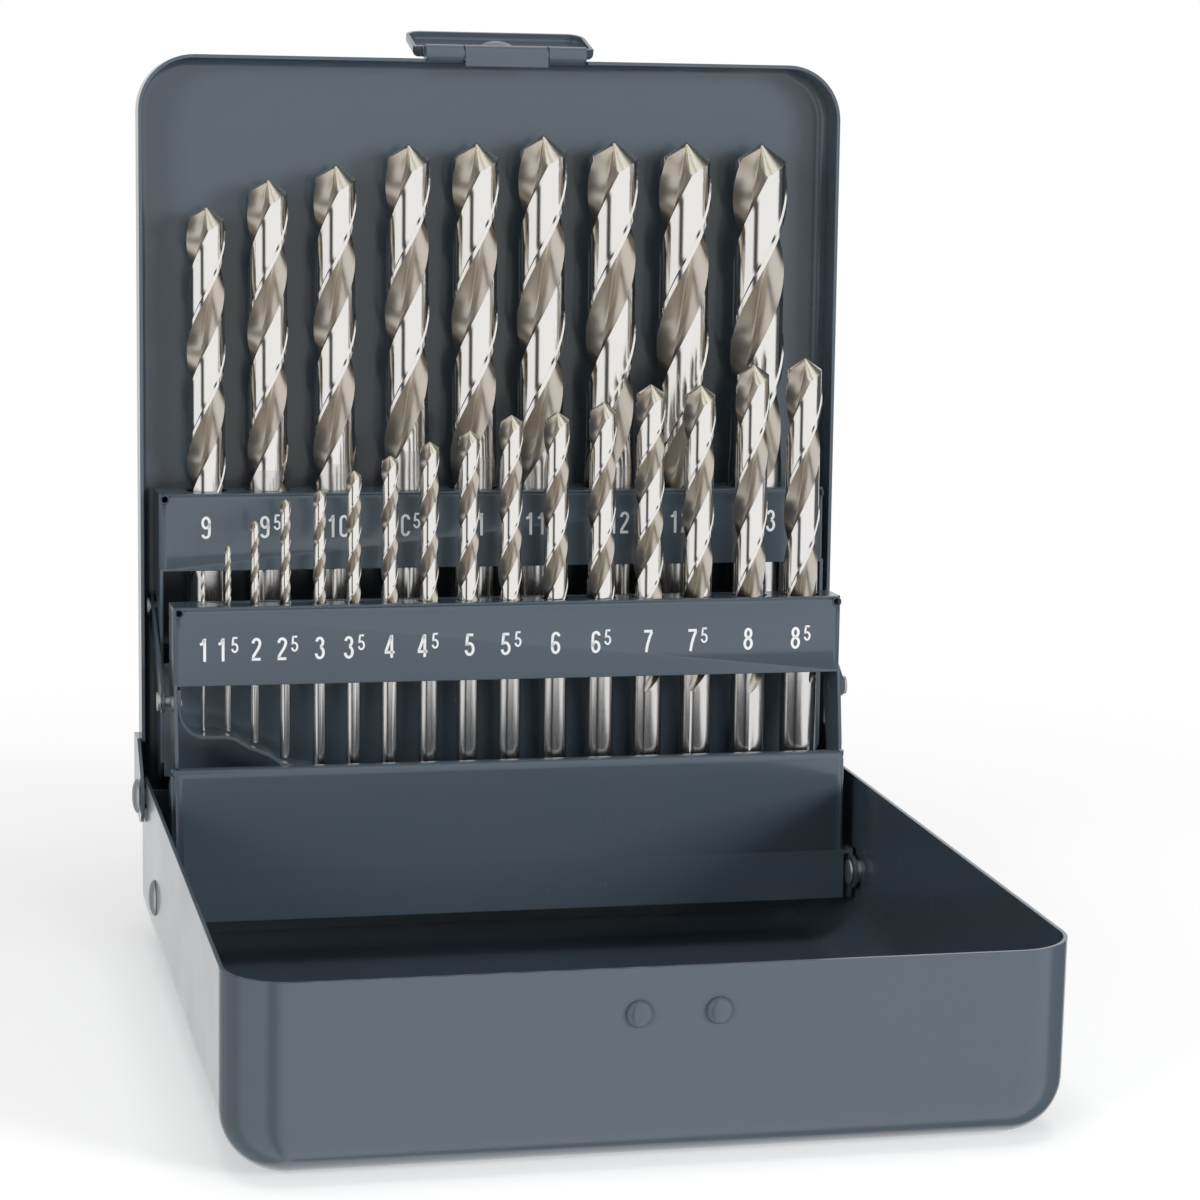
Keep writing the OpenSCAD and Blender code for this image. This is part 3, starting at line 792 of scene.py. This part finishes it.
class DRILLCASE_OT_rivets(bpy.types.Operator):
    """Turns the domed rivets of the hinges and pivots, and the catch studs"""

    bl_idname = "drillcase.rivets"
    bl_label = "Rivets and studs"

    def execute(self, context):
        for node, (across, tail, centre) in RIVETS.items():
            meshes = []
            for side in (-1, 1):
                outward = Matrix.Rotation(math.radians(90 * side), 4, "Y")
                place = Matrix.Translation((side * across * MM, centre.y, centre.z))
                meshes.append(turned_mesh("rivet", RIVET_HEAD + tail, place @ outward))
            name = f"domed_{node}"
            obj = new_object(name, join_meshes(name, meshes), "tray")
            dress(obj, zinc())
            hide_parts(node)
        low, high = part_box("catch_studs")
        radius = (high[2] - low[2]) / 2 / MM
        rise = (high[1] - low[1]) / MM
        dome = [(-STUD_ROOT, radius), (0, radius)]
        for angle in range(8, 89, 8):
            angle = math.radians(angle)
            dome.append((rise * math.sin(angle), radius * math.cos(angle) ** 0.8))
        dome += [(rise, 0)]
        studs = []
        for across in (low[0] + radius * MM, high[0] - radius * MM):
            place = Matrix.Translation((across, high[1], (low[2] + high[2]) / 2))
            studs.append(turned_mesh("stud", dome, place @ FORWARD))
        mesh = join_meshes("domed_catch_studs", studs)
        obj = new_object("domed_catch_studs", mesh, "tray")
        dress(obj, enamel())
        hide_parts("catch_studs")
        return {"FINISHED"}


class DRILLCASE_OT_drills(bpy.types.Operator):
    """Builds the 25 twist drills in place of their plain solids"""

    bl_idname = "drillcase.drills"
    bl_label = "Twist drills"

    def execute(self, context):
        colours = settings("drill_case_colours")
        # tool lines run along the shank, and nearly as wide as long elsewhere
        along = (1.0, 1.0, 0.04)
        across = (1.0, 1.0, 0.6)
        finishes = [
            ground_steel("ground_shank", colours.shank, 0.1, 0.3, 0.12, along),
            ground_steel("milled_flute", colours.flute, 0.24, 0.4, 0.3, across),
            ground_steel("ground_land", colours.land, 0.08, 0.2, 0.2, across),
            ground_steel("ground_point", colours.point, 0.2, 0.34, 0.2, across),
        ]
        for index, size in enumerate(SIZES):
            name = drill_node(size)
            matrix = LEANING["front_stand" if index < FRONT_COUNT else "lid"]
            low, high = node_span(name, matrix)
            length = high.z - low.z
            mesh = twist_drill_mesh(f"twist_{name}", size, length, FLUTES[index] * MM)
            middle = (low + high) / 2
            mesh.transform(matrix @ Matrix.Translation((middle.x, middle.y, low.z)))
            obj = new_object(f"twist_{name}", mesh, name)
            dress(obj, *finishes)
            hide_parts(name)
        return {"FINISHED"}


def arc(x, y, across, up, first, last):
    """Points of an elliptic arc from one angle in degrees to another."""
    steps = max(4, round(abs(last - first) / 12))
    angles = [math.radians(first + (last - first) * k / steps) for k in range(steps + 1)]
    return [(x + across * math.cos(a), y + up * math.sin(a)) for a in angles]


# Middle lines of the strokes of each digit, in a box 0.46 wide and 1 high
DIGIT_WIDTH = 0.46
DIGIT_GAP = 0.07
DIGITS = {
    "0": [arc(0.23, 0.76, 0.15, 0.175, 0, 180) + arc(0.23, 0.24, 0.15, 0.175, 180, 360)],
    "1": [[(0.27, 0), (0.27, 1)], [(0.07, 0.75), (0.15, 0.77), (0.21, 0.83), (0.25, 0.95)]],
    "2": [
        arc(0.235, 0.755, 0.15, 0.18, 180, -22) + [(0.32, 0.54), (0.2, 0.35), (0.11, 0.2), (0.085, 0.09)],
        [(0.03, 0.065), (0.41, 0.065)],
    ],
    "3": [arc(0.22, 0.75, 0.135, 0.185, 170, -85), arc(0.22, 0.295, 0.16, 0.235, 85, -172)],
    "4": [[(0.31, 0), (0.31, 1)], [(0.29, 0.95), (0.05, 0.27)], [(0.0, 0.245), (0.43, 0.245)]],
    "5": [
        [(0.1, 0.935), (0.38, 0.935)],
        [(0.13, 0.95), (0.085, 0.46)] + arc(0.22, 0.31, 0.165, 0.245, 120, -168),
    ],
    "6": [
        arc(0.235, 0.29, 0.15, 0.225, 0, 360),
        arc(0.245, 0.76, 0.145, 0.175, 10, 180) + [(0.085, 0.5), (0.085, 0.3)],
    ],
    "7": [[(0.04, 0.935), (0.42, 0.935)], [(0.39, 0.9), (0.29, 0.66), (0.2, 0.33), (0.15, 0)]],
    "8": [arc(0.23, 0.745, 0.13, 0.19, 0, 360), arc(0.23, 0.29, 0.155, 0.225, 0, 360)],
    "9": [
        arc(0.225, 0.71, 0.15, 0.225, 0, 360),
        [(0.375, 0.7), (0.375, 0.5)] + arc(0.215, 0.24, 0.15, 0.175, 0, -165),
    ],
}


def stroke_solid(bm, line, thickness, film, height):
    """A flat bar of ink along a line in shares of the digit's height, closed where its ends meet."""
    loop = math.dist(line[0], line[-1]) < 1e-6
    points = line[:-1] if loop else line
    last = len(points) - 1
    rows = []
    for k, (x, y) in enumerate(points):
        before = points[k - 1] if k > 0 or loop else points[k]
        after = points[(k + 1) % len(points)] if k < last or loop else points[k]
        length = math.dist(before, after)
        side = (-(after[1] - before[1]) / length, (after[0] - before[0]) / length)
        reach = thickness / 2
        corners = [
            (x + side[0] * reach, y + side[1] * reach),
            (x - side[0] * reach, y - side[1] * reach),
        ]
        front = [bm.verts.new((cx * height, -film, cy * height)) for cx, cy in corners]
        back = [bm.verts.new((cx * height, film, cy * height)) for cx, cy in reversed(corners)]
        rows.append(front + back)
    pairs = list(zip(rows, rows[1:])) + ([(rows[-1], rows[0])] if loop else [])
    for one, other in pairs:
        for i in range(4):
            j = (i + 1) % 4
            bm.faces.new((one[i], one[j], other[j], other[i]))
    if not loop:
        bm.faces.new(rows[0])
        bm.faces.new(list(reversed(rows[-1])))


class DRILLCASE_OT_numerals(bpy.types.Operator):
    """Prints each drill's size on the label flanges"""

    bl_idname = "drillcase.numerals"
    bl_label = "Size numerals"

    def word(self, bm, text, height, middle, level):
        """Adds the digits of a number, centred on a place and standing on a level."""
        sizes = settings("drill_case_numerals")
        width = (len(text) * DIGIT_WIDTH + (len(text) - 1) * DIGIT_GAP) * height
        left = middle - width / 2
        for digit in text:
            for line in DIGITS[digit]:
                placed = [(left / height + x, level / height + y) for x, y in line]
                stroke_solid(bm, placed, sizes.stroke, INK_FILM * MM, height)
            left += (DIGIT_WIDTH + DIGIT_GAP) * height

    def execute(self, context):
        sizes = settings("drill_case_numerals")
        small = sizes.height * sizes.small
        for index, size in enumerate(SIZES):
            front = index < FRONT_COUNT
            body = "front_stand" if front else "lid"
            depth = (FRONT_FLANGE_DEPTH if front else REAR_FLANGE_DEPTH) * MM
            middle = (FRONT_NUMERAL_HEIGHT if front else REAR_NUMERAL_HEIGHT) * MM
            level = middle - sizes.height / 2
            across = NUMERAL_PLACES[index] * MM
            whole = str(int(size))
            bm = bmesh.new()
            self.word(bm, whole, sizes.height, across, level)
            if size % 1:
                shift = HALF_PLACES[len(whole)] * MM
                raised = level + (sizes.height - small) + HALF_RISE * MM
                self.word(bm, "5", small, across + shift, raised)
            bmesh.ops.recalc_face_normals(bm, faces=bm.faces)
            name = drill_node(size).replace("drill", "numeral")
            mesh = bpy.data.meshes.new(name)
            bm.to_mesh(mesh)
            bm.free()
            mesh.transform(LEANING[body] @ Matrix.Translation((0, depth, 0)))
            piece = new_object(name, mesh, body)
            dress(piece, material("screen_ink", screen_ink))
        return {"FINISHED"}


class DRILLCASE_OT_studio(bpy.types.Operator):
    """Sets the camera, the floor and soft studio light"""

    bl_idname = "drillcase.studio"
    bl_label = "Studio"

    def execute(self, context):
        self.camera()
        self.floor()
        self.world()
        self.softboxes()
        bpy.context.scene.view_settings.view_transform = "Standard"
        return {"FINISHED"}

    def camera(self):
        """The photograph's view, from a fit of the camera."""
        studio = settings("drill_case_studio")
        yaw, pitch, roll = studio.yaw, studio.pitch, studio.roll
        level = math.cos(pitch)
        forward = Vector((math.sin(yaw) * level, math.cos(yaw) * level, -math.sin(pitch)))
        right = Vector((math.cos(yaw), -math.sin(yaw), 0))
        up = right.cross(forward)
        right, up = (
            right * math.cos(roll) + up * math.sin(roll),
            up * math.cos(roll) - right * math.sin(roll),
        )
        data = bpy.data.cameras.new("camera")
        data.lens = studio.lens
        data.sensor_width = 36
        data.clip_start = 0.01
        camera = bpy.data.objects.new("camera", data)
        matrix = Matrix((right, up, -forward)).transposed().to_4x4()
        matrix.translation = Vector(studio.place)
        camera.matrix_world = matrix
        bpy.context.scene.collection.objects.link(camera)
        bpy.context.scene.camera = camera

    def floor(self):
        """A round pale floor that keeps the shadow near the case and fades into the white surround."""
        steps = 96
        turns = [2 * math.pi * k / steps for k in range(steps)]
        mesh = bpy.data.meshes.new("floor")
        corners = [
            (FLOOR_RADIUS * math.cos(t), FLOOR_RADIUS * math.sin(t), FLOOR_DROP) for t in turns
        ]
        mesh.from_pydata(corners, [], [tuple(range(steps))])
        floor = bpy.data.objects.new("floor", mesh)
        bpy.context.scene.collection.objects.link(floor)
        # gloss and metal see the surround through it
        floor.visible_glossy = False
        paper, tree, output = new_material("studio_paper")
        rays = add(tree, "ShaderNodeLightPath")
        place = add(tree, "ShaderNodeTexCoord").outputs["Object"]
        far = add(tree, "ShaderNodeVectorMath", {0: place}, operation="LENGTH")
        fade = add(
            tree,
            "ShaderNodeMapRange",
            {"Value": far.outputs["Value"], "From Min": FLOOR_FADE[0], "From Max": FLOOR_FADE[1]},
            interpolation_type="SMOOTHSTEP",
        )
        shown = add(
            tree,
            "ShaderNodeMath",
            {0: rays.outputs["Is Camera Ray"], 1: rays.outputs["Is Glossy Ray"]},
            operation="MAXIMUM",
        )
        lift = add(
            tree,
            "ShaderNodeMath",
            {0: rays.outputs["Is Camera Ray"], 1: FLOOR_CAMERA_GLOW, 2: FLOOR_GLOW},
            operation="MULTIPLY_ADD",
        )
        level = add(
            tree,
            "ShaderNodeMapRange",
            {"Value": shown.outputs["Value"], "To Min": TABLE_LIGHT, "To Max": 1.0},
        )
        sheet = add(tree, "ShaderNodeBsdfDiffuse", {"Color": (0.86, 0.86, 0.86, 1)})
        glow = add(tree, "ShaderNodeEmission", {"Strength": lift.outputs["Value"]})
        near = add(tree, "ShaderNodeAddShader")
        tree.links.new(sheet.outputs["BSDF"], near.inputs[0])
        tree.links.new(glow.outputs["Emission"], near.inputs[1])
        surround = add(tree, "ShaderNodeEmission", {"Strength": level.outputs["Result"]})
        mix = add(tree, "ShaderNodeMixShader", {"Fac": fade.outputs["Result"]})
        tree.links.new(near.outputs["Shader"], mix.inputs[1])
        tree.links.new(surround.outputs["Emission"], mix.inputs[2])
        tree.links.new(mix.outputs["Shader"], output.inputs["Surface"])
        dress(floor, paper)

    def world(self):
        """A white surround; metal sees it as white panels with dark gaps between them."""
        world = bpy.data.worlds.new("studio_world")
        bpy.context.scene.world = world
        world.use_nodes = True
        tree = world.node_tree
        tree.nodes.clear()
        output = tree.nodes.new("ShaderNodeOutputWorld")
        rays = add(tree, "ShaderNodeLightPath")
        place = add(tree, "ShaderNodeTexCoord").outputs["Generated"]
        turned = add(
            tree,
            "ShaderNodeVectorRotate",
            {"Vector": place, "Angle": PANELS_FACE},
            rotation_type="Z_AXIS",
        )
        axes = add(tree, "ShaderNodeSeparateXYZ", {"Vector": turned.outputs["Vector"]})
        bearing = add(
            tree, "ShaderNodeMath", {0: axes.outputs["X"], 1: axes.outputs["Y"]}, operation="ARCTAN2"
        )
        share = add(
            tree,
            "ShaderNodeMapRange",
            {"Value": bearing.outputs["Value"], "From Min": math.pi, "From Max": -math.pi},
        )
        ramp = add(tree, "ShaderNodeValToRGB", {"Fac": share.outputs["Result"]})
        stops = ramp.color_ramp.elements
        while len(stops) < len(PANELS):
            stops.new(0.5)
        for stop, (degrees, level) in zip(stops, PANELS):
            stop.position = (degrees + 180) / 360
            stop.color = (level, level, level, 1)
        panels = add(tree, "ShaderNodeBackground", {"Color": ramp.outputs["Color"], "Strength": 1.0})
        white = add(tree, "ShaderNodeBackground", {"Color": (1, 1, 1, 1), "Strength": 1.0})
        # the white table that runs on past the floor lights the case from below
        height = add(tree, "ShaderNodeSeparateXYZ", {"Vector": place})
        table = add(
            tree,
            "ShaderNodeMapRange",
            {
                "Value": height.outputs["Z"],
                "From Min": -0.02,
                "From Max": 0.02,
                "To Min": TABLE_LIGHT,
                "To Max": ROOM_LIGHT,
            },
        )
        soft = add(
            tree,
            "ShaderNodeBackground",
            {"Color": (1, 1, 1, 1), "Strength": table.outputs["Result"]},
        )
        clear = add(
            tree,
            "ShaderNodeMath",
            {0: rays.outputs["Is Camera Ray"], 1: rays.outputs["Is Transmission Ray"]},
            operation="MAXIMUM",
        )
        glossy = add(tree, "ShaderNodeMixShader", {"Fac": rays.outputs["Is Glossy Ray"]})
        tree.links.new(soft.outputs["Background"], glossy.inputs[1])
        tree.links.new(panels.outputs["Background"], glossy.inputs[2])
        mix = add(tree, "ShaderNodeMixShader", {"Fac": clear.outputs["Value"]})
        tree.links.new(glossy.outputs["Shader"], mix.inputs[1])
        tree.links.new(white.outputs["Background"], mix.inputs[2])
        tree.links.new(mix.outputs["Shader"], output.inputs["Surface"])

    def softboxes(self):
        """Soft lamps that all face the case."""
        strength = settings("drill_case_studio").light
        for name, (place, width, height, watts) in SOFTBOXES.items():
            light = bpy.data.lights.new(name, "AREA")
            light.shape = "RECTANGLE"
            light.size = width
            light.size_y = height
            light.energy = watts * strength
            obj = bpy.data.objects.new(name, light)
            obj.location = place
            # metal sees the panels of the surround instead of the lamps
            obj.visible_glossy = False
            facing = (LIGHT_AIM - Vector(place)).to_track_quat("-Z", "Y")
            obj.rotation_euler = facing.to_euler()
            bpy.context.scene.collection.objects.link(obj)


class DRILLCASE_PT_panel(bpy.types.Panel):
    """Lists the steps that dress the case"""

    bl_label = "Drill case"
    bl_idname = "DRILLCASE_PT_panel"
    bl_space_type = "VIEW_3D"
    bl_region_type = "UI"
    bl_category = "Drill case"

    def draw(self, context):
        layout = self.layout
        for operator in OPERATORS:
            layout.operator(operator.bl_idname)
        for name in GROUPS:
            group = getattr(context.scene, name)
            box = layout.box()
            for prop in group.bl_rna.properties.keys():
                if prop not in ("rna_type", "name"):
                    box.prop(group, prop)


GROUPS = {
    "drill_case_colours": DrillCaseColours,
    "drill_case_drills": DrillSizes,
    "drill_case_numerals": NumeralSizes,
    "drill_case_studio": StudioSettings,
}
OPERATORS = (
    DRILLCASE_OT_studio,
    DRILLCASE_OT_finish_sheet,
    DRILLCASE_OT_racks,
    DRILLCASE_OT_rivets,
    DRILLCASE_OT_drills,
    DRILLCASE_OT_numerals,
)


def register():
    for group in GROUPS.values():
        bpy.utils.register_class(group)
    for name, group in GROUPS.items():
        setattr(bpy.types.Scene, name, bpy.props.PointerProperty(type=group))
    for operator in OPERATORS:
        bpy.utils.register_class(operator)
    bpy.utils.register_class(DRILLCASE_PT_panel)


def unregister():
    bpy.utils.unregister_class(DRILLCASE_PT_panel)
    for operator in reversed(OPERATORS):
        bpy.utils.unregister_class(operator)
    for name in GROUPS:
        delattr(bpy.types.Scene, name)
    for group in reversed(GROUPS.values()):
        bpy.utils.unregister_class(group)


def main():
    register()
    bpy.ops.drillcase.studio()
    bpy.ops.drillcase.finish_sheet()
    bpy.ops.drillcase.racks()
    bpy.ops.drillcase.rivets()
    bpy.ops.drillcase.drills()
    bpy.ops.drillcase.numerals()


if __name__ == "__main__":
    main()
